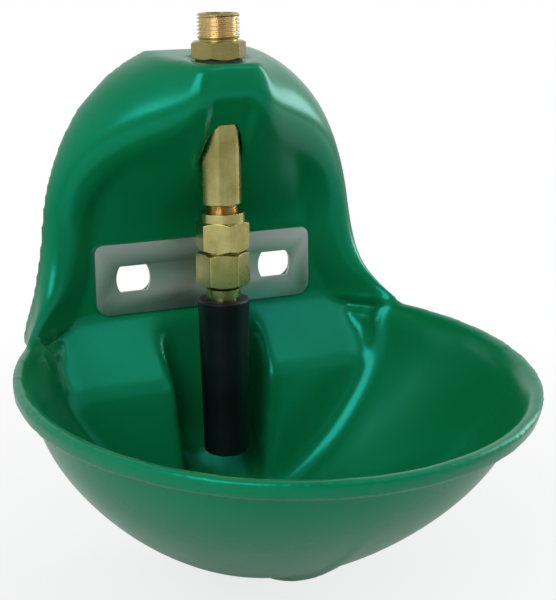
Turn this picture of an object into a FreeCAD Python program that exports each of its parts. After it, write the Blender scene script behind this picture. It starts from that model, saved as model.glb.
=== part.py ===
import FreeCAD, Part
import math
import os
from FreeCAD import Vector

os.makedirs("parts", exist_ok=True)

# All sizes are in millimetres. X runs to the right as seen from the front, Y runs
# towards the wall and Z runs up. The origin lies on the wall plane, halfway between
# the two bolt slots.

# Moulded bowl
WALL = 4.0
RIM_HALF_WIDTH = 121.4
RIM_HALF_DEPTH = 130.6
RIM_CENTRE_Y = -99.6
RIM_CENTRE_Z = -26.4
RIM_TILT_DEG = 3.4
LIP_WIDTH = 4.8
LIP_HEIGHT = 8.6
LIP_UNDERCUT = 8.4
LIP_ROUND = 1.6
LIP_FLARE_DEPTH = 12.0
BOWL_TOP_DRAW = 0.4
BOWL_DEPTH = 111.0
BOWL_BACKSET = 33.6
BOWL_FULLNESS = 1.55
KEEL_DEPTH = 4.9
KEEL_THICKNESS = 4.5

# Back of the bowl, behind the water
SHELF_TOP_Z = -22.5
CREASE_Y = -29.5
CREASE_Z = -52.7
FACE_FOOT_Y = -36.5
SHELF_TOP_ROUND = 5.0
FACE_CORNER_ROUND = 10.0
SHELF_CORNER_ROUND = 8.0
TROUGH_HALF_WIDTH = 24.8
TROUGH_TAPER = 0.062
TROUGH_BACK_Y = -7.5
TROUGH_ROUND = 6.0

# Hood, by level sections: height, half width at the wall, crest x and y,
# foot x and y of the flank, and forward reach on the middle line
HOOD_SECTIONS = (
    (122.0, 11.0, 4.0, 34.0, 6.0, 44.0, 46.0),
    (112.0, 37.0, 21.5, 37.5, 16.0, 50.0, 50.0),
    (100.0, 53.0, 31.5, 39.0, 17.0, 53.0, 52.0),
    (87.0, 64.5, 40.5, 36.5, 19.0, 52.0, 51.0),
    (74.0, 72.0, 50.8, 30.5, 32.0, 38.0, 45.0),
    (61.0, 77.8, 60.2, 22.0, 46.0, 21.0, 36.0),
    (48.0, 81.8, 68.0, 16.3, 56.0, 10.0, 25.0),
    (35.0, 84.2, 71.8, 15.0, 60.0, 5.0, 13.0),
    (22.0, 85.4, 75.0, 15.8, 61.0, 4.0, 4.0),
    (5.0, 88.4, 81.0, 18.0, 62.0, 4.0, 4.0),
    (-6.0, 91.0, 91.0, 24.0, 66.0, 4.0, 4.0),
    (-16.0, 94.2, 104.0, 34.5, 72.0, 4.0, 4.0),
    (-24.0, 97.0, 117.0, 51.0, 74.0, 4.0, 4.0),
    (-34.0, 97.2, 119.0, 55.0, 74.0, 4.0, 4.0),
    (-46.0, 97.2, 119.0, 55.0, 74.0, 4.0, 4.0),
)
PAD_BACK_Z = 115.3
PAD_SLOPE = 0.10
BACK_WALL = 4.0
THICKENING = 0.6

# Valve axis, and the place for the valve in the hood
VALVE_Y = -32.1
BAR_FLATS = 19.0
BAR_CORNER_RADIUS = 10.3
BAR_TOP_Z = 105.4
BAR_CLEARANCE = 0.15
BOSS_HALF_WIDTH = 15.5
BOSS_BACK = 15.0
BOSS_ROUND = 7.0
BOSS_LOW_Z = 30.0
RECESS_HALF_WIDTH = 12.0
RECESS_TOP_Z = 95.0
RECESS_TOP_Y = -51.4
RECESS_LOW_Z = 17.5
RECESS_LOW_Y = -5.84
RECESS_ROUND = 1.5
SPOT_FACE_RADIUS = 14.5
SPOT_FACE_Z = 110.6
PAD_HOLE_RADIUS = 7.2

# Steel wall plate and its bolt slots
PLATE_WIDTH = 118.4
PLATE_HEIGHT = 37.0
PLATE_THICKNESS = 2.0
PLATE_TOP_ROUND = 4.5
PLATE_LOW_ROUND = 7.0
SLOT_SPACING = 78.2
SLOT_LENGTH = 18.2
SLOT_RADIUS = 6.75
SHELL_SLOT_MARGIN = 1.2
PLATE_MARGIN = 0.6
PLATE_SEAT_DEPTH = 0.3

# Inlet nipple
THREAD_RADIUS = 10.48
NIPPLE_TOP_Z = 133.8
NIPPLE_THREAD_LOW_Z = 120.65
NIPPLE_FLATS = 24.0
NIPPLE_TURN_DEG = -5.7
NIPPLE_LOW_Z = 96.3
NIPPLE_BORE = 7.6
NIPPLE_BORE_LOW_Z = 113.0
NIPPLE_FOOT_BORE = 4.4
STUB_RADIUS = 6.58
THREAD_RELIEF = 0.9
THREAD_FIT = 0.02
CORNER_BEVEL_DEG = 30.0
GASKET_RADIUS = 11.5
GASKET_THICKNESS = 1.2
BODY_GASKET_THICKNESS = 0.8

# Hexagonal valve body and what it holds
BAR_LOW_Z = 40.4
NECK_RADIUS = 8.0
NECK_LOW_Z = 28.2
INLET_BORE_LOW_Z = 95.5
STRAINER_BORE = 5.6
STRAINER_BORE_LOW_Z = 76.0
MIDDLE_BORE = 4.4
CHAMBER_BORE = 5.6
CHAMBER_TOP_Z = 50.0
STRAINER_CUP_RADIUS = 4.6
STRAINER_CUP_WALL = 0.6
STRAINER_CUP_LOW_Z = 82.0
STRAINER_FLANGE = 0.8
STRAINER_SLOT_WIDTH = 1.2
RESTRICTOR_THICKNESS = 3.0
RESTRICTOR_BORE = 1.6
KEEPER_THICKNESS = 1.5
KEEPER_PIN_RADIUS = 2.6
KEEPER_PIN_LENGTH = 2.5
KEEPER_HOLE_RADIUS = 0.9
KEEPER_HOLE_PITCH = 4.0
HIDDEN_GAP = 0.05

# Spring
SPRING_WIRE = 0.7
SPRING_RADIUS = 3.6
SPRING_TURNS = 6

# Tappet, seat and seals
HEAD_RADIUS = 4.9
HEAD_THICKNESS = 2.0
HEAD_PIN_LENGTH = 2.0
STEM_RADIUS = 1.6
FOOT_RADIUS = 2.8
FOOT_THICKNESS = 1.2
FOOT_GAP = 0.5
WASHER_THICKNESS = 1.2
WASHER_RADIUS = 5.0
SEAT_TOP_Z = 28.3
SEAT_HIGH_Z = 27.4
SEAT_LOW_Z = 25.4
SEAT_BORE = 3.5
SEAT_LIP_RADIUS = 4.6
SEAT_RADIUS = 7.9
SEAL_THICKNESS = 0.8
SEAL_BORE = 6.3

# Upper nut, which houses the seat
HOUSING_FLATS = 24.0
HOUSING_TURN_DEG = 25.8
HOUSING_HEX_LOW_Z = 16.8
HOUSING_HEX_TOP_Z = 31.8
HOUSING_COLLAR_RADIUS = 11.4
HOUSING_TOP_Z = 36.2
HOUSING_BORE = 6.8
HOUSING_STUB_RADIUS = 9.6
HOUSING_LOW_Z = 11.9

# Lower nut with its ball seat
UNION_FLATS = 24.0
UNION_TURN_DEG = -17.8
UNION_CORNER_ROUND = 1.0
UNION_LOW_Z = -1.1
UNION_TOP_Z = 16.0
UNION_SEAL_THICKNESS = 1.0
UNION_SEAL_BORE = 8.4
UNION_MOUTH_RADIUS = 7.8
UNION_MOUTH_BEVEL = 1.2

# Ball joint and tube
PIVOT_Z = 6.0
BALL_RADIUS = 8.6
BEARING_THICKNESS = 1.0
BEARING_CLEARANCE = 0.05
BEARING_HALF_HEIGHT = 4.2
BEARING_CENTRE_Z = 5.2
BALL_TOP_Z = 10.5
SPIGOT_NECK_RADIUS = 6.6
SPIGOT_RING_RADIUS = 8.8
SPIGOT_RING_TOP_Z = -3.1
SPIGOT_RING_BEVEL = 1.2
SPIGOT_RING_LOW_Z = -7.0
SPIGOT_TAIL_RADIUS = 6.9
SPIGOT_LOW_Z = -38.0
SPIGOT_BORE = 5.4
SPIGOT_BORE_TOP_Z = 7.0
WATER_HOLE_RADIUS = 1.6
WATER_HOLE_PITCH = 4.9
WATER_HOLES = 4
TUBE_TOP_Z = -8.5
TUBE_LOW_Z = -90.5
TUBE_TOP_RADIUS = 13.2
TUBE_LOW_RADIUS = 11.5
TUBE_END_ROUND = 1.6
TUBE_BORE = 6.9

# Run of the shaping blocks past the pieces they trim, and the fineness of round faces
SPARE = 12.0
OPEN_TOP = 3.0
POLES_AROUND = 16


def ring(inner, outer, z_low, z_high):
    """Plain ring or tube about the valve axis."""
    body = Part.makeCylinder(outer, z_high - z_low, Vector(0, VALVE_Y, z_low))
    if inner > 0:
        body = body.cut(Part.makeCylinder(inner, z_high - z_low + 2, Vector(0, VALVE_Y, z_low - 1)))
    return body


def rounded_polygon(points, radii):
    """Closed wire through the points in order, each corner rounded by its radius."""
    count = len(points)
    edges = []
    ends = []
    for index, corner in enumerate(points):
        before = points[index - 1]
        after = points[(index + 1) % count]
        into = (before - corner).normalize()
        away = (after - corner).normalize()
        radius = radii[index]
        if radius <= 0:
            ends.append((corner, corner, None))
            continue
        half = into.getAngle(away) / 2
        reach = radius / math.tan(half)
        middle = (into + away).normalize()
        centre = corner + middle * (radius / math.sin(half))
        ends.append((corner + into * reach, corner + away * reach, centre - middle * radius))
    for index in range(count):
        start, stop, mid = ends[index]
        if mid is not None:
            edges.append(Part.Arc(start, mid, stop).toShape())
        follow = ends[(index + 1) % count][0]
        edges.append(Part.LineSegment(stop, follow).toShape())
    return Part.Wire(edges)


def prism(points, radii, direction):
    """Solid swept from a rounded polygon."""
    return Part.Face(rounded_polygon(points, radii)).extrude(direction)


def bowl_profile(radius, depth, top, flare=0.0):
    """Smooth profile from a height over or under the rim down to the lowest point."""
    shares = [0.0, 0.04, 0.09, 0.15] if flare else [0.0]
    shares += [math.sin(math.pi / 14 * step) for step in range(1, 8)]
    points = []
    for share in shares:
        drop = share * (depth + top) - top
        width = radius * (1 - share ** BOWL_FULLNESS) ** (1 / BOWL_FULLNESS)
        width += flare * max(0.0, 1 - drop / LIP_FLARE_DEPTH) ** 2
        points.append(Vector(width, 0, -drop))
    curve = Part.BSplineCurve()
    curve.interpolate(points)
    return curve


def on_rim(x, y, height):
    """Place of a point of the round bowl once it is stretched, leaned back and tilted."""
    stretched = y * RIM_HALF_DEPTH / RIM_HALF_WIDTH
    lean = height * BOWL_BACKSET / BOWL_DEPTH
    climb = stretched * math.tan(math.radians(RIM_TILT_DEG))
    return Vector(x, RIM_CENTRE_Y + stretched - lean, RIM_CENTRE_Z + height + climb)


def swept_round(profile):
    """Face swept round the bowl by one profile of (radius, height)."""
    turn = 2 * math.pi / POLES_AROUND
    swell = 6 / (4 + 2 * math.cos(turn))
    rows = []
    for step in range(POLES_AROUND):
        across = swell * math.cos(turn * step)
        along = swell * math.sin(turn * step)
        rows.append([on_rim(pole.x * across, pole.x * along, pole.z) for pole in profile.getPoles()])
    surface = Part.BSplineSurface()
    surface.buildFromPolesMultsKnots(
        rows, [1] * (POLES_AROUND + 1), profile.getMultiplicities(),
        [float(step) for step in range(POLES_AROUND + 1)], profile.getKnots(),
        True, False, 3, profile.Degree)
    return surface.toShape()


def round_solid(profiles):
    """Solid closed by profiles that run from the top disc down to the lowest point."""
    faces = [swept_round(profile) for profile in profiles]
    highest = max(faces[0].Edges, key=lambda edge: edge.BoundBox.ZMax if edge.Closed else -1e9)
    faces.append(Part.Face(Part.Wire([highest])))
    shell = Part.Shell(faces)
    shell.sewShape()
    solid = Part.Solid(shell)
    if solid.Volume < 0:
        solid.reverse()
    return solid


def straight(start, stop):
    """Straight profile between two (radius, height) points."""
    curve = Part.BSplineCurve()
    curve.buildFromPoles([Vector(start[0], 0, start[1]), Vector(stop[0], 0, stop[1])], False, 1)
    return curve


def rounded(start, corner, stop):
    """Rounded profile between two (radius, height) points, drawn towards a corner."""
    curve = Part.BSplineCurve()
    curve.buildFromPoles([Vector(x, 0, z) for x, z in (start, corner, stop)], False, 2)
    return curve


def bowl_outside():
    """Bowl filled to the rim, with its lip."""
    body_radius = RIM_HALF_WIDTH - LIP_UNDERCUT
    shoulder = (RIM_HALF_WIDTH - LIP_ROUND, 0)
    corner = (RIM_HALF_WIDTH, 0)
    outer_high = (RIM_HALF_WIDTH, -LIP_ROUND)
    outer_low = (RIM_HALF_WIDTH - LIP_ROUND / 2, -LIP_HEIGHT)
    tuck = (body_radius, -LIP_HEIGHT - LIP_ROUND)
    return round_solid([
        rounded(shoulder, corner, outer_high),
        straight(outer_high, outer_low),
        straight(outer_low, tuck),
        bowl_profile(body_radius, BOWL_DEPTH, tuck[1])])


def bowl_inside(extra=0.0):
    """Water space of the bowl, running on a little above the rim."""
    radius = RIM_HALF_WIDTH - LIP_UNDERCUT - BOWL_TOP_DRAW
    flare = RIM_HALF_WIDTH - LIP_WIDTH - radius
    return round_solid([bowl_profile(radius + extra, BOWL_DEPTH - WALL + extra, OPEN_TOP, flare)])


def keel_rib():
    """Stiffening rib under the bowl on its middle line, deepest at the lowest point."""
    deep = round_solid([bowl_profile(RIM_HALF_WIDTH - LIP_UNDERCUT, BOWL_DEPTH + KEEL_DEPTH, -LIP_HEIGHT)])
    span = 2 * RIM_HALF_DEPTH
    plate = Part.makeBox(KEEL_THICKNESS, 2 * span, span, Vector(-KEEL_THICKNESS / 2, -2 * span, -span))
    return deep.common(plate)


def hood_poles(section, inset, back_y):
    """Control points across one level of the hood, from the left wall edge to the right."""
    height, half_width, crest_x, crest_y, foot_x, foot_y, reach = section
    edge_x = half_width - inset
    edge = (edge_x, back_y)
    turn = (edge_x, -0.45 * crest_y + inset)
    crest = (crest_x - 0.5 * inset, -crest_y + inset)
    foot_depth = -foot_y + inset
    middle_depth = -reach + inset
    half = [edge, turn, crest]
    for share in (1.0, 0.95, 0.8, 0.45):
        half.append((foot_x * share, middle_depth + (foot_depth - middle_depth) * share))
    right = [Vector(x, y, height) for x, y in half]
    left = [Vector(-x, y, height) for x, y in half]
    return left + [Vector(0, middle_depth, height)] + right[::-1]


def clamped_knots(count, degree):
    """Knots and multiplicities of an open, evenly spaced spline."""
    spans = count - degree
    knots = [float(step) for step in range(spans + 1)]
    mults = [degree + 1] + [1] * (spans - 1) + [degree + 1]
    return knots, mults


def hood_block(inset=0.0, back_y=0.0):
    """Block between the hood's front face and the wall, drawn in by an inset."""
    rows = [hood_poles(section, inset, back_y) for section in HOOD_SECTIONS]
    row_knots, row_mults = clamped_knots(len(rows), 3)
    across_knots, across_mults = clamped_knots(len(rows[0]), 3)
    surface = Part.BSplineSurface()
    surface.buildFromPolesMultsKnots(
        rows, row_mults, across_mults, row_knots, across_knots, False, False, 3, 3)
    front = surface.toShape()
    first, last = rows[0], rows[-1]
    upper = Part.LineSegment(first[0], first[-1]).toShape()
    lower = Part.LineSegment(last[0], last[-1]).toShape()
    sides = {}
    for edge in front.Edges:
        box = edge.BoundBox
        if box.ZLength < 0.01:
            sides["top" if box.ZMax > first[0].z - 1 else "bottom"] = edge
        else:
            sides["left" if box.XMax < 0 else "right"] = edge
    faces = [
        front,
        Part.Face(Part.Wire(Part.__sortEdges__([sides["left"], upper, sides["right"], lower]))),
        Part.Face(Part.Wire(Part.__sortEdges__([sides["top"], upper]))),
        Part.Face(Part.Wire(Part.__sortEdges__([sides["bottom"], lower])))]
    shell = Part.Shell(faces)
    shell.sewShape()
    solid = Part.Solid(shell)
    if solid.Volume < 0:
        solid.reverse()
    return solid


def slab(points, radii, half_span):
    """Solid of constant section across the part, from (y, z) points with rounded corners."""
    corners = [Vector(-half_span, y, z) for y, z in points]
    return prism(corners, radii, Vector(2 * half_span, 0, 0))


def drawn_back(points, distance):
    """Line of (y, z) points moved sideways into the material by a distance."""
    sides = []
    for start, stop in zip(points, points[1:]):
        run = Vector(0, stop[0] - start[0], stop[1] - start[1]).normalize()
        sides.append(Vector(0, -run.z, run.y))
    sides = [sides[0]] + sides + [sides[-1]]
    moved = []
    for (y, z), one, other in zip(points, sides, sides[1:]):
        step = (one + other) * (distance / (1 + one.dot(other)))
        moved.append((y + step.y, z + step.z))
    return moved


def back_line():
    """Front face of the back wall, the shelf and the steep face below it, as (y, z)."""
    low_z = RIM_CENTRE_Z - BOWL_DEPTH - SPARE
    return [
        (-BACK_WALL, SPARE),
        (-BACK_WALL, SHELF_TOP_Z),
        (CREASE_Y, CREASE_Z),
        (FACE_FOOT_Y, low_z)]


def trough(extra=0.0):
    """Upright channel in the shelf that clears the tube."""
    outlines = []
    for height in (SHELF_TOP_Z + TROUGH_ROUND, RIM_CENTRE_Z - BOWL_DEPTH - SPARE):
        half_width = TROUGH_HALF_WIDTH + TROUGH_TAPER * (height - CREASE_Z) + extra
        back = TROUGH_BACK_Y + extra
        front = 2 * CREASE_Y
        corners = [
            Vector(-half_width, front, height),
            Vector(-half_width, back, height),
            Vector(half_width, back, height),
            Vector(half_width, front, height)]
        radius = TROUGH_ROUND + extra
        outlines.append(rounded_polygon(corners, [0, radius, radius, 0]))
    return Part.makeLoft(outlines, True, True)


def beside_rim(height, far_z):
    """Block from a plane level with the rim, at a height over it, up or down to far off."""
    climb = math.tan(math.radians(RIM_TILT_DEG))
    low = height + RIM_CENTRE_Z
    back, front = 4 * SPARE, 3 * RIM_CENTRE_Y
    points = [
        (back, low + climb * (back - RIM_CENTRE_Y)),
        (back, far_z),
        (front, far_z),
        (front, low + climb * (front - RIM_CENTRE_Y))]
    return slab(points, [0, 0, 0, 0], 2 * RIM_HALF_WIDTH)


def softened(solid, radius, chosen):
    """Solid with the edges picked by a test rounded."""
    return solid.makeFillet(radius, [edge for edge in solid.Edges if chosen(edge.BoundBox)])


def in_front_of_face():
    """Water space in front of the steep face, softened where it meets the bowl."""
    line = back_line()
    slope = (CREASE_Y - FACE_FOOT_Y) / (CREASE_Z - line[-1][1])
    top_y = CREASE_Y + slope * (SPARE - CREASE_Z)
    front_y = 2 * (RIM_CENTRE_Y - RIM_HALF_DEPTH)
    points = [(top_y, SPARE), line[-1], (front_y, line[-1][1]), (front_y, SPARE)]
    space = bowl_inside().common(slab(points, [0, 0, 0, 0], 2 * RIM_HALF_WIDTH))
    return softened(
        space, FACE_CORNER_ROUND,
        lambda box: box.YMin > FACE_FOOT_Y and box.ZLength > WALL)


def above_shelf():
    """Water space over the shelf, softened where it meets the bowl."""
    line = back_line()
    front_y = CREASE_Y - 4 * FACE_CORNER_ROUND
    slope = (SHELF_TOP_Z - CREASE_Z) / (-BACK_WALL - CREASE_Y)
    front_z = CREASE_Z + slope * (front_y - CREASE_Y)
    points = [line[0], line[1], (front_y, front_z), (front_y, SPARE)]
    space = bowl_inside().common(slab(points, [0, SHELF_TOP_ROUND, 0, 0], 2 * RIM_HALF_WIDTH))
    return softened(
        space, SHELF_CORNER_ROUND,
        lambda box: abs(box.Center.x) > TROUGH_HALF_WIDTH and box.ZMax < SHELF_TOP_Z
        and box.YMin > front_y - 1 and box.YLength > 2 * WALL and box.ZLength > 2 * WALL
        and box.YMax > CREASE_Y - 2 * FACE_CORNER_ROUND)


def water_space():
    """Everything the water and the muzzle can reach inside the bowl."""
    space = in_front_of_face().fuse(above_shelf())
    space = space.fuse(bowl_inside().common(trough()))
    return space.cut(beside_rim(0, PAD_BACK_Z))


def space_behind_shelf():
    """Hollow open to the wall, behind the shelf and the steep face."""
    line = drawn_back(back_line(), WALL)[1:]
    points = line + [(SPARE, line[-1][1]), (SPARE, line[0][1])]
    radii = [0, WALL, 0, 0, 0]
    hollow = bowl_inside(-THICKENING).common(slab(points, radii, 2 * RIM_HALF_WIDTH))
    return hollow.cut(trough(WALL)).cut(beside_rim(-WALL, PAD_BACK_Z))


def above_pad(drop):
    """Block over the sloping pad of the hood, lowered by a wall for the hollow."""
    reach = 2 * SPARE
    front = -4 * reach
    points = [
        (reach, PAD_BACK_Z + PAD_SLOPE * reach - drop),
        (front, PAD_BACK_Z + PAD_SLOPE * front - drop),
        (front, 2 * PAD_BACK_Z),
        (reach, 2 * PAD_BACK_Z)]
    return slab(points, [0, 0, 0, 0], RIM_HALF_WIDTH)


def hex_bar(flats, z_low, z_high, turn_deg=0.0, corner_round=0.0):
    """Upright hexagon about the valve axis, a flat to the front before it is turned."""
    corner = flats / math.sqrt(3)
    points = []
    for step in range(6):
        angle = math.radians(60 * step + turn_deg)
        points.append(Vector(corner * math.cos(angle), VALVE_Y + corner * math.sin(angle), z_low))
    return prism(points, [corner_round] * 6, Vector(0, 0, z_high - z_low))


def bar_outline(clearance, z_low, z_high):
    """Hexagonal bar of the valve with its corners turned off."""
    round_bar = ring(0, BAR_CORNER_RADIUS + clearance, z_low, z_high)
    return hex_bar(BAR_FLATS + 2 * clearance, z_low, z_high).common(round_bar)


def valve_boss():
    """Block of material left solid in the hood to hold the valve."""
    back = VALVE_Y + BOSS_BACK
    front = 2 * VALVE_Y
    points = [
        Vector(-BOSS_HALF_WIDTH, front, BOSS_LOW_Z),
        Vector(-BOSS_HALF_WIDTH, back, BOSS_LOW_Z),
        Vector(BOSS_HALF_WIDTH, back, BOSS_LOW_Z),
        Vector(BOSS_HALF_WIDTH, front, BOSS_LOW_Z)]
    return prism(points, [0, BOSS_ROUND, BOSS_ROUND, 0], Vector(0, 0, 2 * PAD_BACK_Z))


def nose_recess():
    """Flat-bottomed recess under the nose of the hood, where the valve comes out."""
    points = [
        (RECESS_TOP_Y, RECESS_TOP_Z),
        (RECESS_LOW_Y, RECESS_LOW_Z),
        (2 * RECESS_TOP_Y, RECESS_LOW_Z),
        (2 * RECESS_TOP_Y, RECESS_TOP_Z)]
    return slab(points, [0, 0, 0, 0], RECESS_HALF_WIDTH)


def bolt_slots(radius, length, y_front, y_back):
    """Two upright-ended slots for the wall bolts."""
    run = length / 2 - radius
    cuts = []
    for side in (-1, 1):
        middle = side * SLOT_SPACING / 2
        for end in (-run, run):
            start = Vector(middle + end, y_front, 0)
            cuts.append(Part.makeCylinder(radius, y_back - y_front, start, Vector(0, 1, 0)))
        corner = Vector(middle - run, y_front, -radius)
        cuts.append(Part.makeBox(2 * run, y_back - y_front, 2 * radius, corner))
    return cuts[0].fuse(cuts[1:]).removeSplitter()


def bowl_shell():
    """Moulded bowl, back wall and hood in one piece, open at the back."""
    round_bowl = bowl_outside()
    past_wall = Part.makeBox(
        4 * RIM_HALF_WIDTH, 2 * RIM_HALF_DEPTH, 4 * RIM_HALF_WIDTH,
        Vector(-2 * RIM_HALF_WIDTH, 0, -2 * RIM_HALF_WIDTH))
    bowl = round_bowl.fuse(keel_rib()).cut(past_wall).cut([water_space(), space_behind_shelf()])
    hood = hood_block().cut(above_pad(0)).cut(beside_rim(-LIP_HEIGHT, -PAD_BACK_Z))
    hollow = hood_block(WALL + THICKENING / 2, SPARE).cut(above_pad(WALL))
    hollow = hollow.cut(beside_rim(WALL - LIP_HEIGHT, -PAD_BACK_Z))
    body = bowl.fuse(hood.cut([round_bowl, hollow.cut(valve_boss())]))
    bar_hole = bar_outline(BAR_CLEARANCE, BACK_WALL, BAR_TOP_Z)
    pad_hole = ring(0, PAD_HOLE_RADIUS, BAR_TOP_Z - 1, 2 * BAR_TOP_Z)
    spot_face = ring(0, SPOT_FACE_RADIUS, SPOT_FACE_Z, 2 * SPOT_FACE_Z)
    slots = bolt_slots(
        SLOT_RADIUS + SHELL_SLOT_MARGIN, SLOT_LENGTH + 2 * SHELL_SLOT_MARGIN, -2 * BACK_WALL, SPARE)
    plate_seat = plate_outline(PLATE_MARGIN, PLATE_SEAT_DEPTH - BACK_WALL, 2 * PLATE_THICKNESS)
    for cutter in (nose_recess(), bar_hole, pad_hole, spot_face, slots, plate_seat):
        body = body.cut(cutter)
    return body


def plate_outline(margin, y_back, thickness):
    """Block in the outline of the wall plate, grown by a margin, forward from a face."""
    half = PLATE_WIDTH / 2 + margin
    high = PLATE_HEIGHT / 2 + margin
    corners = ((-half, -high), (half, -high), (half, high), (-half, high))
    points = [Vector(x, y_back - thickness, z) for x, z in corners]
    low = PLATE_LOW_ROUND + margin
    top = PLATE_TOP_ROUND + margin
    return prism(points, [low, low, top, top], Vector(0, thickness, 0))


def wall_plate():
    """Flat steel plate that spreads the wall bolts' clamping over the moulding."""
    plate = plate_outline(0, PLATE_SEAT_DEPTH - BACK_WALL, PLATE_THICKNESS)
    return plate.cut(bolt_slots(SLOT_RADIUS, SLOT_LENGTH, -2 * BACK_WALL, 0))


def lathe(points):
    """Solid turned about the valve axis from (radius, height) points."""
    corners = [Vector(radius, VALVE_Y, height) for radius, height in points]
    face = Part.Face(Part.makePolygon(corners + [corners[0]]))
    return face.revolve(Vector(0, VALVE_Y, 0), Vector(0, 0, 1), 360)


def ball(radius):
    """Ball about the pivot of the tube."""
    return Part.makeSphere(radius, Vector(0, VALVE_Y, PIVOT_Z))


def bevelled_hex(flats, z_low, z_high, turn_deg, corner_round=0.0, low=True, high=True):
    """Hexagon with its corners turned off at the chosen ends."""
    outer = flats / math.sqrt(3) + 0.1
    inner = flats / 2 - 0.2
    drop = (outer - inner) * math.tan(math.radians(CORNER_BEVEL_DEG))
    points = [(0, z_low), (inner if low else outer, z_low)]
    if low:
        points.append((outer, z_low + drop))
    if high:
        points.append((outer, z_high - drop))
    points += [(inner if high else outer, z_high), (0, z_high)]
    return hex_bar(flats, z_low, z_high, turn_deg, corner_round).common(lathe(points))


def inlet_nipple():
    """Threaded inlet with its hexagon and the stub that clamps the valve in the hood."""
    hex_low = SPOT_FACE_Z + GASKET_THICKNESS
    bevel = THREAD_RELIEF
    turned = lathe([
        (0, NIPPLE_LOW_Z),
        (STUB_RADIUS, NIPPLE_LOW_Z),
        (STUB_RADIUS, hex_low + bevel),
        (THREAD_RADIUS - bevel, hex_low + bevel),
        (THREAD_RADIUS - bevel, NIPPLE_THREAD_LOW_Z + bevel),
        (THREAD_RADIUS, NIPPLE_THREAD_LOW_Z + 2 * bevel),
        (THREAD_RADIUS, NIPPLE_TOP_Z - bevel),
        (THREAD_RADIUS - bevel, NIPPLE_TOP_Z),
        (0, NIPPLE_TOP_Z)])
    body = turned.fuse(bevelled_hex(NIPPLE_FLATS, hex_low, NIPPLE_THREAD_LOW_Z, NIPPLE_TURN_DEG))
    body = body.cut(ring(0, NIPPLE_BORE, NIPPLE_BORE_LOW_Z, 2 * NIPPLE_TOP_Z))
    return body.cut(ring(0, NIPPLE_FOOT_BORE, 0, NIPPLE_TOP_Z))


def nipple_gasket():
    """Flat ring between the nipple and the hood's pad."""
    return ring(PAD_HOLE_RADIUS, GASKET_RADIUS, SPOT_FACE_Z, SPOT_FACE_Z + GASKET_THICKNESS)


def body_gasket():
    """Flat ring between the valve body and the underside of the hood's pad."""
    return ring(PAD_HOLE_RADIUS, BAR_FLATS / 2, BAR_TOP_Z - BODY_GASKET_THICKNESS, BAR_TOP_Z)


def valve_body():
    """Hexagonal brass body from the hood down to the threaded neck."""
    top = BAR_TOP_Z - BODY_GASKET_THICKNESS
    bar = bevelled_hex(BAR_FLATS, BAR_LOW_Z, top, 0, high=False)
    bar = bar.common(bar_outline(0, BAR_LOW_Z, top))
    body = bar.fuse(ring(0, NECK_RADIUS, NECK_LOW_Z, BAR_LOW_Z + 1)).removeSplitter()
    bores = lathe([
        (0, NECK_LOW_Z - 1),
        (CHAMBER_BORE, NECK_LOW_Z - 1),
        (CHAMBER_BORE, CHAMBER_TOP_Z),
        (MIDDLE_BORE, CHAMBER_TOP_Z),
        (MIDDLE_BORE, STRAINER_BORE_LOW_Z),
        (STRAINER_BORE, STRAINER_BORE_LOW_Z),
        (STRAINER_BORE, INLET_BORE_LOW_Z),
        (STUB_RADIUS + THREAD_FIT, INLET_BORE_LOW_Z),
        (STUB_RADIUS + THREAD_FIT, top + 1),
        (0, top + 1)])
    return body.cut(bores)


def inlet_strainer():
    """Slotted cup hanging from a flange clamped under the nipple."""
    flange_top = INLET_BORE_LOW_Z + STRAINER_FLANGE
    inner = STRAINER_CUP_RADIUS - STRAINER_CUP_WALL
    cup = lathe([
        (0, STRAINER_CUP_LOW_Z),
        (STRAINER_CUP_RADIUS, STRAINER_CUP_LOW_Z),
        (STRAINER_CUP_RADIUS, INLET_BORE_LOW_Z),
        (STUB_RADIUS - HIDDEN_GAP, INLET_BORE_LOW_Z),
        (STUB_RADIUS - HIDDEN_GAP, flange_top),
        (inner, flange_top),
        (inner, STRAINER_CUP_LOW_Z + STRAINER_CUP_WALL),
        (0, STRAINER_CUP_LOW_Z + STRAINER_CUP_WALL)])
    low = STRAINER_CUP_LOW_Z + 3 * STRAINER_CUP_WALL
    height = INLET_BORE_LOW_Z - 2 * STRAINER_CUP_WALL - low
    reach = STRAINER_CUP_RADIUS + 1
    for step in range(4):
        corner = Vector(-reach, VALVE_Y - STRAINER_SLOT_WIDTH / 2, low)
        slot = Part.makeBox(2 * reach, STRAINER_SLOT_WIDTH, height, corner)
        slot.rotate(Vector(0, VALVE_Y, 0), Vector(0, 0, 1), 45 * step)
        cup = cup.cut(slot)
    return cup


def flow_restrictor():
    """Throttle disc for high mains pressure."""
    low = STRAINER_BORE_LOW_Z
    return ring(RESTRICTOR_BORE, STRAINER_BORE - HIDDEN_GAP, low, low + RESTRICTOR_THICKNESS)


def spring_keeper():
    """Perforated disc that backs the spring against the step of the chamber."""
    low = CHAMBER_TOP_Z - KEEPER_THICKNESS
    disc = ring(0, CHAMBER_BORE - HIDDEN_GAP, low, CHAMBER_TOP_Z)
    disc = disc.fuse(ring(0, KEEPER_PIN_RADIUS, low - KEEPER_PIN_LENGTH, low + 0.5)).removeSplitter()
    for step in range(6):
        angle = math.radians(60 * step)
        x = KEEPER_HOLE_PITCH * math.cos(angle)
        y = VALVE_Y + KEEPER_HOLE_PITCH * math.sin(angle)
        hole = Part.makeCylinder(KEEPER_HOLE_RADIUS, 2 * KEEPER_THICKNESS, Vector(x, y, low - 0.5))
        disc = disc.cut(hole)
    return disc


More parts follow.
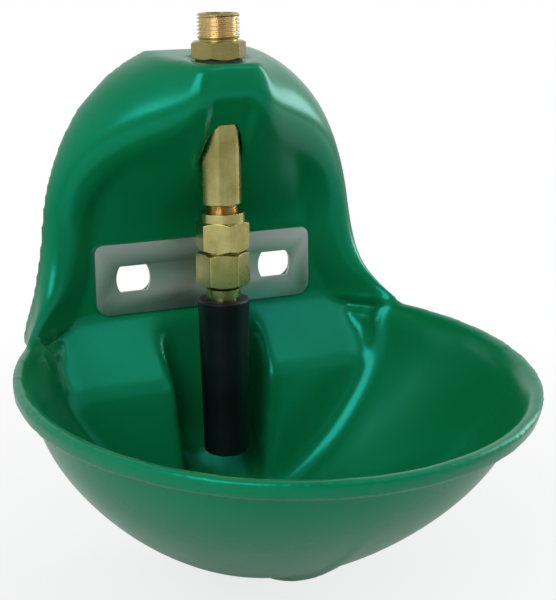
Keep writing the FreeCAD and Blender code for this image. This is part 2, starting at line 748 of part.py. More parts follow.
def valve_spring():
    """Coil spring between the keeper and the tappet's head."""
    low = SEAT_TOP_Z + WASHER_THICKNESS + HEAD_THICKNESS + HIDDEN_GAP + SPRING_WIRE / 2
    high = CHAMBER_TOP_Z - KEEPER_THICKNESS - HIDDEN_GAP - SPRING_WIRE / 2
    rise = (high - low) / SPRING_TURNS
    tangent = Vector(0, 2 * math.pi * SPRING_RADIUS, rise).normalize()
    outward = Vector(SPRING_WIRE / 2, 0, 0)
    start = Vector(SPRING_RADIUS, 0, 0)
    corners = [start + FreeCAD.Rotation(tangent, 60 * step).multVec(outward) for step in range(6)]
    section = Part.makePolygon(corners + [corners[0]])
    path = Part.Wire(Part.makeHelix(rise, high - low, SPRING_RADIUS))
    coil = path.makePipeShell([section], True, False)
    coil.translate(Vector(0, VALVE_Y, low))
    return coil


def valve_tappet():
    """Stem with the head that closes the seat and the foot that the tube lifts."""
    foot_low = BALL_TOP_Z + FOOT_GAP
    head_low = SEAT_TOP_Z + WASHER_THICKNESS
    return lathe([
        (0, foot_low),
        (FOOT_RADIUS, foot_low),
        (FOOT_RADIUS, foot_low + FOOT_THICKNESS),
        (STEM_RADIUS, foot_low + FOOT_THICKNESS),
        (STEM_RADIUS, head_low),
        (HEAD_RADIUS, head_low),
        (HEAD_RADIUS, head_low + HEAD_THICKNESS),
        (KEEPER_PIN_RADIUS, head_low + HEAD_THICKNESS),
        (KEEPER_PIN_RADIUS, head_low + HEAD_THICKNESS + HEAD_PIN_LENGTH),
        (0, head_low + HEAD_THICKNESS + HEAD_PIN_LENGTH)])


def tappet_washer():
    """Rubber washer under the tappet's head."""
    return ring(STEM_RADIUS, WASHER_RADIUS, SEAT_TOP_Z, SEAT_TOP_Z + WASHER_THICKNESS)


def valve_seat():
    """Seat disc with a raised lip round its orifice."""
    return lathe([
        (SEAT_BORE, SEAT_LOW_Z),
        (SEAT_RADIUS, SEAT_LOW_Z),
        (SEAT_RADIUS, SEAT_HIGH_Z),
        (SEAT_LIP_RADIUS, SEAT_HIGH_Z),
        (SEAT_LIP_RADIUS, SEAT_TOP_Z),
        (SEAT_BORE, SEAT_TOP_Z)])


def neck_seal():
    """Flat ring between the neck and the seat."""
    return ring(SEAL_BORE, SEAT_RADIUS, SEAT_HIGH_Z, SEAT_HIGH_Z + SEAL_THICKNESS)


def seat_ring_seal():
    """Flat ring between the seat and the step in the upper nut."""
    return ring(SEAL_BORE, SEAT_RADIUS, SEAT_LOW_Z - SEAL_THICKNESS, SEAT_LOW_Z)


def seat_housing():
    """Upper nut, with a round collar above and a threaded stub below."""
    body = bevelled_hex(HOUSING_FLATS, HOUSING_HEX_LOW_Z, HOUSING_HEX_TOP_Z, HOUSING_TURN_DEG)
    body = body.fuse([
        ring(0, HOUSING_COLLAR_RADIUS, HOUSING_HEX_TOP_Z - 1, HOUSING_TOP_Z),
        ring(0, HOUSING_STUB_RADIUS, HOUSING_LOW_Z, HOUSING_HEX_LOW_Z + 1)]).removeSplitter()
    step_z = SEAT_LOW_Z - SEAL_THICKNESS
    body = body.cut(ring(0, NECK_RADIUS + THREAD_FIT, step_z, HOUSING_TOP_Z + 1))
    return body.cut(ring(0, HOUSING_BORE, 0, HOUSING_TOP_Z))


def union_seal():
    """Flat ring between the two nuts."""
    return ring(UNION_SEAL_BORE, HOUSING_STUB_RADIUS, HOUSING_LOW_Z - UNION_SEAL_THICKNESS, HOUSING_LOW_Z)


def union_nut():
    """Lower nut, which carries the ball joint of the tube."""
    body = bevelled_hex(UNION_FLATS, UNION_LOW_Z, UNION_TOP_Z, UNION_TURN_DEG, UNION_CORNER_ROUND)
    ledge = HOUSING_LOW_Z - UNION_SEAL_THICKNESS
    body = body.cut(ring(0, HOUSING_STUB_RADIUS + THREAD_FIT, ledge, UNION_TOP_Z + 1))
    body = body.cut(ball(BALL_RADIUS + BEARING_THICKNESS))
    return body.cut(lathe([
        (0, UNION_LOW_Z - 1),
        (UNION_MOUTH_RADIUS + UNION_MOUTH_BEVEL + 1, UNION_LOW_Z - 1),
        (UNION_MOUTH_RADIUS, UNION_LOW_Z + UNION_MOUTH_BEVEL),
        (UNION_MOUTH_RADIUS, PIVOT_Z),
        (0, PIVOT_Z)]))


def rocker_bearing():
    """Slippery ring between the ball and its seat."""
    low = BEARING_CENTRE_Z - BEARING_HALF_HEIGHT
    band = ring(0, 2 * BALL_RADIUS, low, low + 2 * BEARING_HALF_HEIGHT)
    outer = ball(BALL_RADIUS + BEARING_THICKNESS - BEARING_CLEARANCE)
    return outer.common(band).cut(ball(BALL_RADIUS + BEARING_CLEARANCE))


def rocker_spigot():
    """Ball with the neck, ring and tail that carry the rubber tube."""
    trimmed = ball(BALL_RADIUS).common(ring(0, 2 * BALL_RADIUS, PIVOT_Z - BALL_RADIUS, BALL_TOP_Z))
    ring_low = SPIGOT_RING_LOW_Z
    stem = lathe([
        (0, SPIGOT_LOW_Z),
        (SPIGOT_TAIL_RADIUS - SPIGOT_RING_BEVEL, SPIGOT_LOW_Z),
        (SPIGOT_TAIL_RADIUS, SPIGOT_LOW_Z + 2 * SPIGOT_RING_BEVEL),
        (SPIGOT_TAIL_RADIUS, ring_low),
        (SPIGOT_RING_RADIUS, ring_low),
        (SPIGOT_RING_RADIUS, SPIGOT_RING_TOP_Z),
        (SPIGOT_NECK_RADIUS, SPIGOT_RING_TOP_Z + SPIGOT_RING_BEVEL),
        (SPIGOT_NECK_RADIUS, PIVOT_Z),
        (0, PIVOT_Z)])
    body = trimmed.fuse(stem)
    body = body.cut(ring(0, SPIGOT_BORE, 2 * SPIGOT_LOW_Z, SPIGOT_BORE_TOP_Z))
    for step in range(WATER_HOLES):
        angle = math.radians(360 / WATER_HOLES * (step + 0.5))
        x = WATER_HOLE_PITCH * math.cos(angle)
        y = VALVE_Y + WATER_HOLE_PITCH * math.sin(angle)
        body = body.cut(Part.makeCylinder(WATER_HOLE_RADIUS, BALL_TOP_Z, Vector(x, y, PIVOT_Z)))
    return body


def rubber_tube():
    """Tapered rubber tube that the animal pushes."""
    tube = lathe([
        (TUBE_BORE, TUBE_TOP_Z),
        (TUBE_TOP_RADIUS - TUBE_END_ROUND / 2, TUBE_TOP_Z),
        (TUBE_TOP_RADIUS, TUBE_TOP_Z - TUBE_END_ROUND / 2),
        (TUBE_LOW_RADIUS, TUBE_LOW_Z + TUBE_END_ROUND),
        (TUBE_LOW_RADIUS - TUBE_END_ROUND / 2, TUBE_LOW_Z + TUBE_END_ROUND / 3),
        (TUBE_LOW_RADIUS - TUBE_END_ROUND, TUBE_LOW_Z),
        (TUBE_BORE, TUBE_LOW_Z)])
    return tube


NODES = (
    ("bowl_shell", bowl_shell),
    ("wall_plate", wall_plate),
    ("inlet_nipple", inlet_nipple),
    ("nipple_gasket", nipple_gasket),
    ("body_gasket", body_gasket),
    ("valve_body", valve_body),
    ("inlet_strainer", inlet_strainer),
    ("flow_restrictor", flow_restrictor),
    ("spring_keeper", spring_keeper),
    ("valve_spring", valve_spring),
    ("valve_tappet", valve_tappet),
    ("tappet_washer", tappet_washer),
    ("valve_seat", valve_seat),
    ("neck_seal", neck_seal),
    ("seat_ring_seal", seat_ring_seal),
    ("seat_housing", seat_housing),
    ("union_seal", union_seal),
    ("union_nut", union_nut),
    ("rocker_bearing", rocker_bearing),
    ("rocker_spigot", rocker_spigot),
    ("rubber_tube", rubber_tube))

for name, make in NODES:
    make().exportStep("parts/" + name + ".step")
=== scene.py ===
import math
import bmesh
import bpy
from mathutils import Matrix, Vector
from mathutils.bvhtree import BVHTree


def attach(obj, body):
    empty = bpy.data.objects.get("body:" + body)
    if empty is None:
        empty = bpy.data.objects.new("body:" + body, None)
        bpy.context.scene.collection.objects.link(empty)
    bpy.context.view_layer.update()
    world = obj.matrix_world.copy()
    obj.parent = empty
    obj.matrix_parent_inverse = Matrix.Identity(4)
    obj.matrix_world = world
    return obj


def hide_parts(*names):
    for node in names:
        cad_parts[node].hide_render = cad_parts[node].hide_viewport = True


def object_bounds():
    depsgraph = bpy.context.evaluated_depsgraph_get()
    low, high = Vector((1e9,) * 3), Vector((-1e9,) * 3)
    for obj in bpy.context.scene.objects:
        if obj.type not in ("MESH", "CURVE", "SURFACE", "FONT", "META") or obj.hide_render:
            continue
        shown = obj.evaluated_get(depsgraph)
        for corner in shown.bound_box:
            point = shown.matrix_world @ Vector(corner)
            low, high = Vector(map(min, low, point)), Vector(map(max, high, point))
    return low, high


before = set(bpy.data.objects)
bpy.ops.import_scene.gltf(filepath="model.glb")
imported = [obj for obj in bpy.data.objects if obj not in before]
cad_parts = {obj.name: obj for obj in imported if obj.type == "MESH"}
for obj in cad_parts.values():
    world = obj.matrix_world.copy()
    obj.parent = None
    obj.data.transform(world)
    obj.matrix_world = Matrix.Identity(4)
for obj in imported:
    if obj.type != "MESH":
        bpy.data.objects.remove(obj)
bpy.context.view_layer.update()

MM = 0.001

# Sizes that the solids have too, in millimetres
VALVE_Y = -32.1
RIM_HALF_WIDTH = 121.4
RIM_HALF_DEPTH = 130.6
RIM_CENTRE_Y = -99.6
RIM_CENTRE_Z = -26.4
RIM_TILT_DEG = 3.4
SHELF_TOP_Z = -22.5
CREASE_Y = -29.5
CREASE_Z = -52.7
PLATE_WIDTH = 118.4
PLATE_HEIGHT = 37.0
PLATE_FRONT_Y = -5.7
PLATE_BACK_Y = -3.7
PLATE_TOP_ROUND = 4.5
PLATE_LOW_ROUND = 7.0
SLOT_SPACING = 78.2
SLOT_LENGTH = 18.2
SLOT_HEIGHT = 13.5

# Sizes of the looks alone, in millimetres
PLATE_EDGE_ROUND = 0.3
SLOT_CUTTER_DEPTH = 20
SLOT_END_STRETCH = 1.18
FLOOR_GAP = 2.0

# The shelf is a ledge in the solid. Its slope is carved here: where it starts, how far it reaches to
# the sides, how the steep face below leans, and the least wall that is left
SLOPE_START_Y = -6.0
SLOPE_HALF_WIDTH = 97.0
FACE_LEAN = 0.0741
LEAST_WALL = 3.4
ON_SLOPE = 0.1
SLOPE_MARGIN = 0.5
PROBE_START = 1.0

# Threads: outside radius, depth, pitch, lowest and highest point, and the bore inside
INLET_THREAD = (10.48, 1.16, 1.814, 122.45, 132.9, 8.0)
NECK_THREAD = (8.0, 0.75, 1.25, 36.2, 40.4, 6.2)

# One turn of a thread: share of the pitch and share of the depth
THREAD_PROFILE = ((0.0, 1), (0.1, 1), (0.43, 0), (0.57, 0), (0.9, 1), (1.0, 1))
THREAD_STEPS = 64
THREAD_CORE_GAP = 0.3
THREAD_CUT_SPREAD = 0.02
SAME_RADIUS = 0.2

# Skin of the moulding: spacing of its points, and how far its edges are softened
SKIN_SPACING = 1.3
EDGE_SOFTENING = 5
BROAD_SOFTENING = 90
HOOD_SHARE = 0.55
SKIN_TRIANGLES = 190000

# Where the broad softening begins and where it is full, in millimetres. Inside the rim it goes by
# shares of the rim's size
BELOW_RIM = (12, 22)
INSIDE_RIM = (0.09, 0.16)
BESIDE_PLATE = (62, 70)
OVER_PLATE = (21, 27)
BEFORE_PLATE = (9, 15)
AROUND_VALVE = (17, 24)
UNDER_PAD = (5, 12)
UNDER_HOOD = (5, 20)
BESIDE_KEEL = (4, 9)
OVER_KEEL = (-75, -65)
BEFORE_WALL = (1, 5)

# The photograph's camera: turn, climb and roll in degrees, then metres and lens millimetres
CAMERA_ANGLES = (-23.036, 14.437, 0.606)
CAMERA_AIM = (0.043279, 0, -0.021663)
CAMERA_DISTANCE = 0.7717
CAMERA_LENS = 85.375
CAMERA_SHIFT = (0.00107, -0.0007)


# Shader arithmetic

class Value:
    """A shader socket that takes part in plain arithmetic."""

    def __init__(self, nodes, socket):
        self.nodes = nodes
        self.socket = socket

    def _join(self, operation, first, second):
        return self.nodes.node("ShaderNodeMath", {"operation": operation}, {0: first, 1: second})

    def __add__(self, other):
        return self._join("ADD", self, other)

    def __radd__(self, other):
        return self._join("ADD", other, self)

    def __mul__(self, other):
        return self._join("MULTIPLY", self, other)


class Nodes:
    """Node tree that is built by values."""

    def __init__(self, tree):
        self.tree = tree

    def feed(self, socket, value):
        if isinstance(value, Value):
            self.tree.links.new(value.socket, socket)
        elif isinstance(value, tuple) and len(value) == 3 and socket.type == "RGBA":
            socket.default_value = (*value, 1)
        else:
            socket.default_value = value

    def node(self, kind, settings=None, sockets=None, output=0):
        node = self.tree.nodes.new(kind)
        for name, value in (settings or {}).items():
            setattr(node, name, value)
        for name, value in (sockets or {}).items():
            self.feed(node.inputs[name], value)
        return Value(self, node.outputs[output])

    def between(self, mask, low, high, start=0.0, end=1.0):
        """Ramp of a mask from one value at low to another at high."""
        return self.node("ShaderNodeMapRange", None, {
            "Value": mask, "From Min": low, "From Max": high, "To Min": start, "To Max": end})

    def blend(self, factor, first, second):
        """Mix of two colours."""
        return self.node("ShaderNodeMix", {"data_type": "RGBA"}, {0: factor, 6: first, 7: second}, 2)


class Finish(Nodes):
    """Material with one Principled surface."""

    def __init__(self, name, **settings):
        self.material = bpy.data.materials.new(name)
        self.material.use_nodes = True
        super().__init__(self.material.node_tree)
        self.surface = self.tree.nodes["Principled BSDF"]
        self.set(**settings)
        self.place = self.node("ShaderNodeTexCoord", output="Object")

    def set(self, **settings):
        for name, value in settings.items():
            self.feed(self.surface.inputs[name.replace("_", " ")], value)

    def noise(self, scale, detail=3.0, roughness=0.5, stretch=(1, 1, 1)):
        where = self.node("ShaderNodeMapping", None, {"Vector": self.place, "Scale": stretch})
        return self.node(
            "ShaderNodeTexNoise", None,
            {"Vector": where, "Scale": scale, "Detail": detail, "Roughness": roughness})

    def relief(self, height, strength, distance, edge=0.0):
        """Fine relief, over edges that look rounded by a radius."""
        sockets = {"Height": height, "Strength": strength, "Distance": distance}
        if edge:
            sockets["Normal"] = self.node("ShaderNodeBevel", {"samples": 4}, {"Radius": edge})
        self.set(Normal=self.node("ShaderNodeBump", None, sockets))


# Finishes

def green_plastic():
    f = Finish("green_plastic", Specular_IOR_Level=0.8, Specular_Tint=(0.05, 1.0, 0.9, 1))
    clouds = f.noise(9, 3)
    specks = f.noise(420, 2)
    flow = f.noise(26, 4, 0.6, (1, 1, 0.5))
    colour = f.blend(f.between(clouds, 0.35, 0.68), (0.0022, 0.150, 0.046), (0.0030, 0.172, 0.058))
    colour = f.blend(f.between(specks, 0.62, 0.8) * 0.2, colour, (0.010, 0.19, 0.08))
    f.set(Base_Color=colour)
    f.set(Roughness=0.17 + f.between(flow, 0.3, 0.75) * 0.10)
    f.relief(f.noise(140, 2) * 0.7 + specks * 0.3, 0.05, 0.0006, 0.0016)
    return f.material


def brass(name, light, dark, stretch, grain, dullness=0.2):
    """Brass with tool marks, stretched along the way the metal was worked."""
    f = Finish(name, Metallic=1.0)
    marks = f.noise(grain, 3, 0.6, stretch)
    stain = f.noise(60, 4, 0.6)
    colour = f.blend(f.between(stain, 0.3, 0.75), light, dark)
    colour = f.blend(f.between(marks, 0.45, 0.8) * 0.35, colour, dark)
    f.set(Base_Color=colour)
    f.set(Roughness=dullness + f.between(stain, 0.3, 0.8) * 0.12 + f.between(marks, 0.4, 0.8) * 0.06)
    f.relief(marks * 0.6 + stain * 0.4, 0.10, 0.0003, 0.0004)
    return f.material


def satin_steel():
    f = Finish("satin_steel", Metallic=1.0)
    rolled = f.noise(55, 4, 0.65, (0.25, 1, 3))
    clouds = f.noise(28, 3)
    # The green cast in the steel's colour is painted reflection; its grey is the steel's own.
    f.set(Base_Color=f.blend(f.between(clouds, 0.3, 0.7), (0.40, 0.48, 0.45), (0.48, 0.56, 0.53)))
    f.set(Roughness=0.42 + f.between(rolled, 0.3, 0.8) * 0.1)
    f.relief(rolled, 0.08, 0.0003)
    return f.material


def black_rubber():
    f = Finish("black_rubber", Specular_IOR_Level=0.3)
    dust = f.noise(35, 4, 0.6)
    grain = f.noise(700, 2)
    f.set(Base_Color=f.blend(f.between(dust, 0.4, 0.75), (0.0008, 0.0024, 0.0032), (0.003, 0.006, 0.008)))
    f.set(Roughness=0.36 + f.between(dust, 0.3, 0.8) * 0.16)
    f.relief(grain * 0.6 + dust * 0.4, 0.15, 0.0003, 0.0005)
    return f.material


def plain_part(name, light, dark, roughness, metallic=0.0):
    """Finish of the small inner parts."""
    f = Finish(name, Metallic=metallic)
    clouds = f.noise(90, 3)
    grain = f.noise(600, 2)
    f.set(Base_Color=f.blend(f.between(clouds, 0.35, 0.7), light, dark))
    f.set(Roughness=roughness + f.between(grain, 0.3, 0.7) * 0.1)
    f.relief(grain, 0.1, 0.0002)
    return f.material


STRAW, OLIVE = (0.54, 0.47, 0.18), (0.34, 0.30, 0.09)
FINISHES = {
    "green": green_plastic(),
    "steel": satin_steel(),
    "rubber": black_rubber(),
    "drawn_brass": brass("drawn_brass", (0.60, 0.54, 0.23), OLIVE, (4, 4, 0.25), 90),
    "turned_brass": brass("turned_brass", STRAW, OLIVE, (0.3, 0.3, 5), 120),
    "thread_brass": brass("thread_brass", (0.95, 0.80, 0.50), (0.70, 0.50, 0.24), (0.3, 0.3, 5), 120),
    "copper_brass": brass("copper_brass", (0.66, 0.45, 0.17), (0.42, 0.25, 0.07), (0.4, 0.4, 5), 120),
    "spring_steel": plain_part("spring_steel", (0.55, 0.55, 0.55), (0.4, 0.4, 0.4), 0.28, 1.0),
    "white_plastic": plain_part("white_plastic", (0.78, 0.78, 0.74), (0.7, 0.7, 0.66), 0.4),
    "dark_fibre": plain_part("dark_fibre", (0.02, 0.03, 0.02), (0.012, 0.02, 0.014), 0.6),
}
NODE_FINISH = {
    "bowl_shell": "green",
    "wall_plate": "steel",
    "inlet_nipple": "turned_brass",
    "nipple_gasket": "dark_fibre",
    "body_gasket": "dark_fibre",
    "valve_body": "drawn_brass",
    "inlet_strainer": "spring_steel",
    "flow_restrictor": "white_plastic",
    "spring_keeper": "turned_brass",
    "valve_spring": "spring_steel",
    "valve_tappet": "turned_brass",
    "tappet_washer": "rubber",
    "valve_seat": "turned_brass",
    "neck_seal": "rubber",
    "seat_ring_seal": "rubber",
    "seat_housing": "drawn_brass",
    "union_seal": "rubber",
    "union_nut": "drawn_brass",
    "rocker_bearing": "white_plastic",
    "rocker_spigot": "turned_brass",
    "rubber_tube": "rubber",
}


def dress(piece, finish):
    """Give a piece one of the finishes."""
    piece.data.materials.clear()
    piece.data.materials.append(FINISHES[finish])


for node, finish in NODE_FINISH.items():
    dress(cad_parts[node], finish)


# Pieces

def new_piece(name, bm, finish, body):
    """Object made from a bmesh, riding on a body."""
    mesh = bpy.data.meshes.new(name)
    bm.to_mesh(mesh)
    bm.free()
    piece = bpy.data.objects.new(name, mesh)
    bpy.context.scene.collection.objects.link(piece)
    dress(piece, finish)
    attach(piece, body)
    return piece


def shade_by_angle(mesh, degrees):
    """Smooth shading that keeps edges sharper than an angle."""
    mesh.polygons.foreach_set("use_smooth", [True] * len(mesh.polygons))
    bm = bmesh.new()
    bm.from_mesh(mesh)
    for edge in bm.edges:
        edge.smooth = len(edge.link_faces) == 2 and edge.calc_face_angle(0) < math.radians(degrees)
    bm.to_mesh(mesh)
    bm.free()


def merged_copy(node):
    """Copy of a node's mesh with its loose triangles joined."""
    bm = bmesh.new()
    bm.from_mesh(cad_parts[node].data)
    bmesh.ops.remove_doubles(bm, verts=bm.verts, dist=0.00001)
    return bm


def apply_modifiers(piece):
    """Put the piece's modifiers into its mesh."""
    graph = bpy.context.evaluated_depsgraph_get()
    mesh = bpy.data.meshes.new_from_object(piece.evaluated_get(graph))
    piece.modifiers.clear()
    piece.data = mesh


def ramp(value, low, high):
    """Share from 0 at low to 1 at high."""
    return min(1.0, max(0.0, (value - low) / (high - low)))


def softness(place):
    """How far the moulding's skin is softened: not at the rim, the plate, the valve or the keel."""
    x, y, z = place / MM
    drop = RIM_CENTRE_Z + (y - RIM_CENTRE_Y) * math.tan(math.radians(RIM_TILT_DEG)) - z
    reach = math.hypot(x / RIM_HALF_WIDTH, (y - RIM_CENTRE_Y) / RIM_HALF_DEPTH)
    from_rim = max(ramp(abs(drop + 2), *BELOW_RIM), ramp(0.97 - reach, *INSIDE_RIM))
    from_plate = max(ramp(abs(x), *BESIDE_PLATE), ramp(abs(z), *OVER_PLATE), ramp(-y, *BEFORE_PLATE))
    from_valve = max(ramp(math.hypot(x, y - VALVE_Y), *AROUND_VALVE), ramp(-z, *UNDER_PAD))
    share = HOOD_SHARE + (1 - HOOD_SHARE) * ramp(-z, *UNDER_HOOD)
    from_keel = max(ramp(abs(x), *BESIDE_KEEL), ramp(z, *OVER_KEEL))
    return share * min(from_rim, from_plate, from_valve, from_keel, ramp(-y, *BEFORE_WALL))


def carve_slope(piece):
    """Draw the ledge of the shelf back to the slope, leaving at least the least wall."""
    bm = bmesh.new()
    bm.from_mesh(piece.data)
    solid = BVHTree.FromBMesh(bm)
    along = Vector((0, CREASE_Y - SLOPE_START_Y, CREASE_Z - SHELF_TOP_Z)).normalized()
    outward = Vector((0, along.z, -along.y))
    tilt = math.tan(math.radians(RIM_TILT_DEG))
    for vert in bm.verts:
        place = vert.co / MM
        over_rim = place.z - RIM_CENTRE_Z - (place.y - RIM_CENTRE_Y) * tilt
        face_y = CREASE_Y + (place.z - CREASE_Z) * FACE_LEAN
        over_slope = (place - Vector((0, SLOPE_START_Y, SHELF_TOP_Z))).dot(outward)
        if over_slope < ON_SLOPE or over_rim > SLOPE_MARGIN:
            continue
        if place.y < face_y - SLOPE_MARGIN or abs(place.x) > SLOPE_HALF_WIDTH:
            continue
        start = (place - PROBE_START * vert.normal) * MM
        hit = solid.ray_cast(start, -outward)[0]
        if hit is None:
            continue
        deep = (hit - start).length / MM
        vert.co -= outward * max(0.0, min(over_slope, deep - LEAST_WALL)) * MM
    bm.to_mesh(piece.data)
    bm.free()


def even_skin(piece):
    """Give a piece evenly spaced points."""
    skin = piece.modifiers.new("even_skin", "REMESH")
    skin.mode = "VOXEL"
    skin.voxel_size = SKIN_SPACING * MM
    apply_modifiers(piece)


def soften(piece, name, passes, group=""):
    """Smoothing of a whole piece, or as far as a group of its points says."""
    smooth = piece.modifiers.new(name, "SMOOTH")
    smooth.factor = 0.5
    smooth.iterations = passes
    smooth.vertex_group = group


def moulded_shell():
    """Shell with the soft edges and the even skin of a moulding."""
    piece = new_piece("moulded_bowl", merged_copy("bowl_shell"), "green", "bowl")
    even_skin(piece)
    carve_slope(piece)
    even_skin(piece)
    broad = piece.vertex_groups.new(name="broad")
    for vertex in piece.data.vertices:
        weight = softness(vertex.co)
        if weight > 0:
            broad.add([vertex.index], weight, "REPLACE")
    soften(piece, "edges", EDGE_SOFTENING)
    soften(piece, "creases", BROAD_SOFTENING, "broad")
    apply_modifiers(piece)
    triangles = 2 * len(piece.data.polygons)
    if triangles > SKIN_TRIANGLES:
        thin = piece.modifiers.new("thin", "DECIMATE")
        thin.ratio = SKIN_TRIANGLES / triangles
        apply_modifiers(piece)
    piece.vertex_groups.clear()
    piece.data.polygons.foreach_set("use_smooth", [True] * len(piece.data.polygons))
    dress(piece, "green")
    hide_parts("bowl_shell")


def screw_thread(radius, depth, pitch, low, high, bore):
    """Closed sleeve with a cut thread outside, about the valve axis."""
    bm = bmesh.new()
    start = low - pitch
    turns = math.ceil((high - start) / pitch) + 1
    steps = THREAD_STEPS
    rail = [bm.verts.new((radius - cut * depth, 0, start + share * pitch)) for share, cut in THREAD_PROFILE]
    edges = [bm.edges.new(pair) for pair in zip(rail, rail[1:])]
    bmesh.ops.spin(
        bm, geom=rail + edges, cent=(0, 0, 0), axis=(0, 0, 1), dvec=(0, 0, pitch / steps),
        angle=math.tau * turns, steps=steps * turns)
    bmesh.ops.remove_doubles(bm, verts=bm.verts, dist=0.01)
    for height, side in ((low, -1), (high, 1)):
        geom = bm.verts[:] + bm.edges[:] + bm.faces[:]
        bmesh.ops.bisect_plane(
            bm, geom=geom, plane_co=(0, 0, height), plane_no=(0, 0, side), clear_outer=True)
    loops = []
    for height in (low, high):
        rim = [edge for edge in bm.edges if all(abs(v.co.z - height) < 0.001 for v in edge.verts)]
        grown = bmesh.ops.extrude_edge_only(bm, edges=rim)["geom"]
        for vert in [item for item in grown if isinstance(item, bmesh.types.BMVert)]:
            flat = Vector((vert.co.x, vert.co.y, 0)).normalized() * bore
            vert.co = (flat.x, flat.y, height)
        loops += [item for item in grown if isinstance(item, bmesh.types.BMEdge)]
    bmesh.ops.bridge_loops(bm, edges=loops)
    bmesh.ops.recalc_face_normals(bm, faces=bm.faces)
    place = Matrix.Translation((0, VALVE_Y * MM, 0)) @ Matrix.Scale(MM, 4)
    bmesh.ops.transform(bm, matrix=place, verts=bm.verts)
    return bm


def narrowed(bm, radius, core, low, high):
    """Draw a turned wall in to a core between two heights, to make room for a thread."""
    for vert in bm.verts:
        out = Vector((vert.co.x, vert.co.y - VALVE_Y * MM, 0))
        if abs(out.length - radius * MM) < SAME_RADIUS * MM and low * MM < vert.co.z < high * MM:
            vert.co += out.normalized() * (core - radius) * MM


def threaded(node, name, finish, thread_name, thread_finish, thread):
    """Copy of a turned node whose plain wall gives way to a real thread."""
    radius, depth, pitch, low, high, bore = thread
    bm = merged_copy(node)
    spread = THREAD_CUT_SPREAD
    for height in (low - spread, low + spread, high - spread, high + spread):
        geom = bm.verts[:] + bm.edges[:] + bm.faces[:]
        bmesh.ops.bisect_plane(bm, geom=geom, plane_co=(0, 0, height * MM), plane_no=(0, 0, 1))
    core = radius - depth - THREAD_CORE_GAP
    narrowed(bm, radius, core, low + spread / 2, high - spread / 2)
    piece = new_piece(name, bm, finish, "bowl")
    shade_by_angle(piece.data, 30)
    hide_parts(node)
    sleeve = new_piece(thread_name, screw_thread(*thread), thread_finish, "bowl")
    shade_by_angle(sleeve.data, 25)


def slot_cutter(middle_x, middle_y):
    """Block in the shape of a bolt slot: round ends between two flats."""
    bm = bmesh.new()
    radius = SLOT_LENGTH / 2
    bmesh.ops.create_cone(
        bm, cap_ends=True, segments=96, radius1=radius, radius2=radius, depth=SLOT_CUTTER_DEPTH)
    bmesh.ops.scale(bm, vec=(1, SLOT_END_STRETCH, 1), verts=bm.verts)
    for flat in (-1, 1):
        geom = bm.verts[:] + bm.edges[:] + bm.faces[:]
        cut = bmesh.ops.bisect_plane(
            bm, geom=geom, plane_co=(0, flat * SLOT_HEIGHT / 2, 0), plane_no=(0, flat, 0),
            clear_outer=True)["geom_cut"]
        rim = [item for item in cut if isinstance(item, bmesh.types.BMEdge)]
        bmesh.ops.contextual_create(bm, geom=rim)
    place = Matrix.Translation((middle_x * MM, middle_y * MM, 0))
    place = place @ Matrix.Rotation(math.pi / 2, 4, "X") @ Matrix.Scale(MM, 4)
    bmesh.ops.transform(bm, matrix=place, verts=bm.verts)
    bmesh.ops.recalc_face_normals(bm, faces=bm.faces)
    mesh = bpy.data.meshes.new("slot")
    bm.to_mesh(mesh)
    bm.free()
    cutter = bpy.data.objects.new("slot", mesh)
    bpy.context.scene.collection.objects.link(cutter)
    return cutter


def stamped_plate():
    """Steel plate with its rounded corners and the two flat-sided bolt slots."""
    bm = bmesh.new()
    bmesh.ops.create_cube(bm, size=1)
    middle = (PLATE_BACK_Y + PLATE_FRONT_Y) / 2
    size = (PLATE_WIDTH, PLATE_BACK_Y - PLATE_FRONT_Y, PLATE_HEIGHT)
    bmesh.ops.scale(bm, vec=size, verts=bm.verts)
    for side, radius in ((1, PLATE_TOP_ROUND), (-1, PLATE_LOW_ROUND)):
        corners = [
            edge for edge in bm.edges
            if all(v.co.z * side > PLATE_HEIGHT / 2 - 0.1 for v in edge.verts)
            and abs(edge.verts[0].co.x - edge.verts[1].co.x) < 0.1]
        bmesh.ops.bevel(
            bm, geom=corners, offset=radius, segments=10, profile=0.5, affect="EDGES", material=-1)
    bmesh.ops.translate(bm, vec=(0, middle, 0), verts=bm.verts)
    bmesh.ops.scale(bm, vec=(MM, MM, MM), verts=bm.verts)
    piece = new_piece("stamped_plate", bm, "steel", "bowl")
    cutters = [slot_cutter(side * SLOT_SPACING / 2, middle) for side in (-1, 1)]
    for cutter in cutters:
        hole = piece.modifiers.new("slot", "BOOLEAN")
        hole.object = cutter
        hole.operation = "DIFFERENCE"
        hole.solver = "EXACT"
    edge = piece.modifiers.new("edge", "BEVEL")
    edge.width = PLATE_EDGE_ROUND * MM
    edge.segments = 2
    edge.limit_method = "ANGLE"
    edge.angle_limit = math.radians(40)
    apply_modifiers(piece)
    for cutter in cutters:
        bpy.data.objects.remove(cutter)
    shade_by_angle(piece.data, 35)
    dress(piece, "steel")
    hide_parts("wall_plate")


moulded_shell()
threaded("inlet_nipple", "inlet_fitting", "turned_brass", "inlet_thread", "thread_brass", INLET_THREAD)
threaded("valve_body", "valve_bar", "drawn_brass", "neck_thread", "copper_brass", NECK_THREAD)
stamped_plate()


# Studio

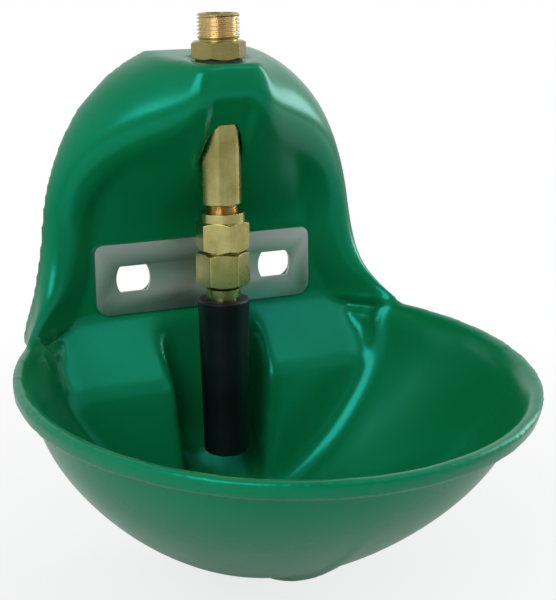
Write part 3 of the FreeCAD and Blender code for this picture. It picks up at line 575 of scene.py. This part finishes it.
def ground():
    """Pale floor that keeps the shadow near the object and runs on to the background."""
    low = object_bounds()[0][2]
    bm = bmesh.new()
    bmesh.ops.create_grid(bm, x_segments=1, y_segments=1, size=8)
    bmesh.ops.translate(bm, verts=bm.verts, vec=(0, 0, low - FLOOR_GAP * MM))
    mesh = bpy.data.meshes.new("floor")
    bm.to_mesh(mesh)
    bm.free()
    floor = bpy.data.objects.new("floor", mesh)
    bpy.context.scene.collection.objects.link(floor)
    f = Finish("pale_floor", Roughness=0.9, Specular_IOR_Level=0.1, Base_Color=(0.7, 0.7, 0.7, 1))
    white = f.node("ShaderNodeEmission", None, {"Color": (1, 1, 1), "Strength": 1.0})
    far = f.node("ShaderNodeVectorMath", {"operation": "LENGTH"}, {0: f.place}, "Value")
    seen = f.node("ShaderNodeLightPath", output="Is Camera Ray")
    share = seen * f.between(far, 0.1, 0.45, 0.72, 1.0)
    surface = Value(f, f.surface.outputs[0])
    mixed = f.node("ShaderNodeMixShader", None, {0: share, 1: surface, 2: white})
    f.feed(f.tree.nodes["Material Output"].inputs["Surface"], mixed)
    floor.data.materials.append(f.material)


def lamp(name, place, aim, size, power):
    """Large soft lamp aimed at a point."""
    data = bpy.data.lights.new(name, "AREA")
    data.shape = "RECTANGLE"
    data.size, data.size_y = size
    data.energy = power
    light = bpy.data.objects.new(name, data)
    light.location = place
    light.rotation_euler = (Vector(aim) - Vector(place)).to_track_quat("-Z", "Y").to_euler()
    bpy.context.scene.collection.objects.link(light)


def sky():
    """Pale tent with a darker side behind the camera, plain white to the camera."""
    world = bpy.data.worlds.new("studio")
    world.use_nodes = True
    bpy.context.scene.world = world
    w = Nodes(world.node_tree)
    way = w.node("ShaderNodeTexCoord", output="Generated")
    behind = (-0.30, -0.93, 0.10)
    facing = w.node("ShaderNodeVectorMath", {"operation": "DOT_PRODUCT"}, {0: way, 1: behind}, "Value")
    height = w.node("ShaderNodeVectorMath", {"operation": "DOT_PRODUCT"}, {0: way, 1: (0, 0, 1)}, "Value")
    level = w.between(facing, 0.45, 0.95, 0.84, 0.22) * w.between(height, 0.3, 0.9, 1.0, 0.6)
    lit = w.node("ShaderNodeBackground", None, {"Color": (0.96, 0.99, 1.0), "Strength": level})
    seen = w.node("ShaderNodeBackground", None, {"Color": (1, 1, 1), "Strength": 1.0})
    camera_ray = w.node("ShaderNodeLightPath", output="Is Camera Ray")
    mixed = w.node("ShaderNodeMixShader", None, {0: camera_ray, 1: lit, 2: seen})
    w.feed(world.node_tree.nodes["World Output"].inputs["Surface"], mixed)


def camera():
    """Camera at the photograph's viewing angle."""
    turn, climb, roll = (math.radians(angle) for angle in CAMERA_ANGLES)
    right = Vector((math.cos(turn), math.sin(turn), 0))
    up = Vector((-math.sin(turn) * math.sin(climb), math.cos(turn) * math.sin(climb), math.cos(climb)))
    back = Vector((math.sin(turn) * math.cos(climb), -math.cos(turn) * math.cos(climb), math.sin(climb)))
    side = math.cos(roll) * right - math.sin(roll) * up
    over = math.sin(roll) * right + math.cos(roll) * up
    place = Vector(CAMERA_AIM) + CAMERA_DISTANCE * back
    view = Matrix((side, over, back)).transposed().to_4x4()
    view.translation = place
    data = bpy.data.cameras.new("camera")
    data.sensor_width = 36
    data.lens = CAMERA_LENS
    data.shift_x, data.shift_y = CAMERA_SHIFT
    data.clip_start = 0.01
    eye = bpy.data.objects.new("camera", data)
    eye.matrix_world = view
    bpy.context.scene.collection.objects.link(eye)
    bpy.context.scene.camera = eye


ground()
sky()
camera()
lamp("key", (-0.9, -0.9, 0.75), (0, -0.1, -0.03), (0.9, 0.9), 11)
lamp("side", (1.2, 0.1, 0.5), (0, -0.08, 0), (0.5, 1.0), 6)
lamp("top", (0.42, -0.5, 0.95), (0, -0.06, -0.03), (0.5, 0.35), 0.6)
bpy.context.scene.view_settings.view_transform = "Standard"
